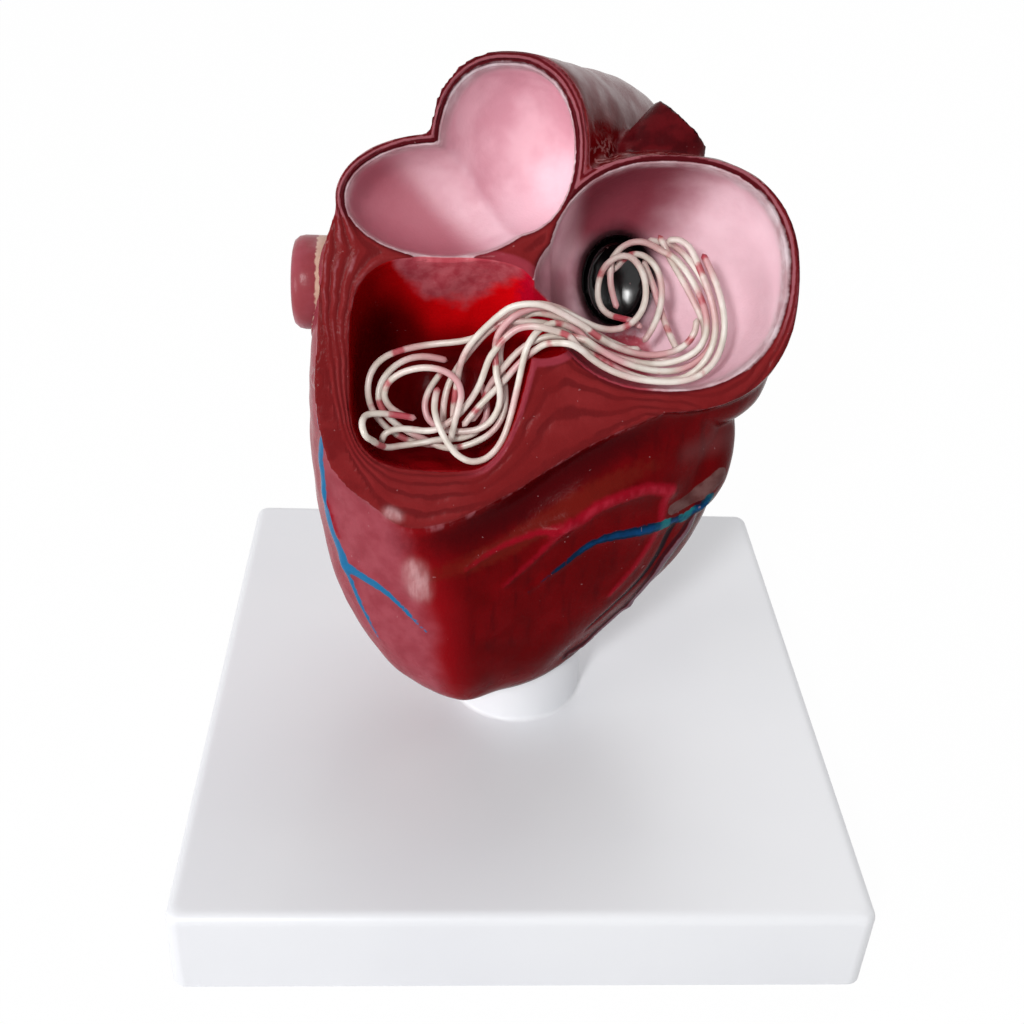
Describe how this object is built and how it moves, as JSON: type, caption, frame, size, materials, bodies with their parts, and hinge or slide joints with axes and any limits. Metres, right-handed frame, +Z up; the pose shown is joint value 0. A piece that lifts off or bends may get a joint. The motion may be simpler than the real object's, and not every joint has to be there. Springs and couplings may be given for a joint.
{
  "type": "dog heart model",
  "caption": "Classroom model of a dog's heart cut open to show heartworms in its right side, turning on a post above a square white stand.",
  "frame": {"origin": "middle of the stand's underside", "axes": "+Z up, -Y towards the side of the stand that the section faces, +X to the viewer's right"},
  "size_m": [0.1436, 0.1436, 0.1626],
  "materials": {
    "stand": "semi-gloss white moulding",
    "steel": "plated steel",
    "bush": "natural plastic",
    "heart": "gloss paint on cast plastic",
    "worm": "satin paint on flexible plastic"
  },
  "bodies": {
    "stand": {"base_shell": "stand", "post": "stand", "post_screw": "steel", "screw_washer": "steel"},
    "peg": {"swivel_peg": "steel"},
    "heart": {"heart_casting": "heart", "heart_bush": "bush", "vein_stub": "heart", "worm_01": "worm", "worm_02": "worm", "worm_03": "worm", "worm_04": "worm", "worm_05": "worm", "worm_06": "worm", "worm_07": "worm", "worm_08": "worm", "worm_09": "worm", "worm_10": "worm", "worm_11": "worm", "worm_12": "worm", "worm_13": "worm", "worm_14": "worm"}
  },
  "joints": [
    {"name": "peg_swivel", "type": "hinge", "parent": "stand", "child": "peg", "pos_m": [0, 0, 0.0505], "axis": [0, 0, 1], "continuous": true},
    {"name": "heart_lift", "type": "slide", "parent": "peg", "child": "heart", "axis": [0, 0, 1], "range_m": [0, 0.024]}
  ]
}
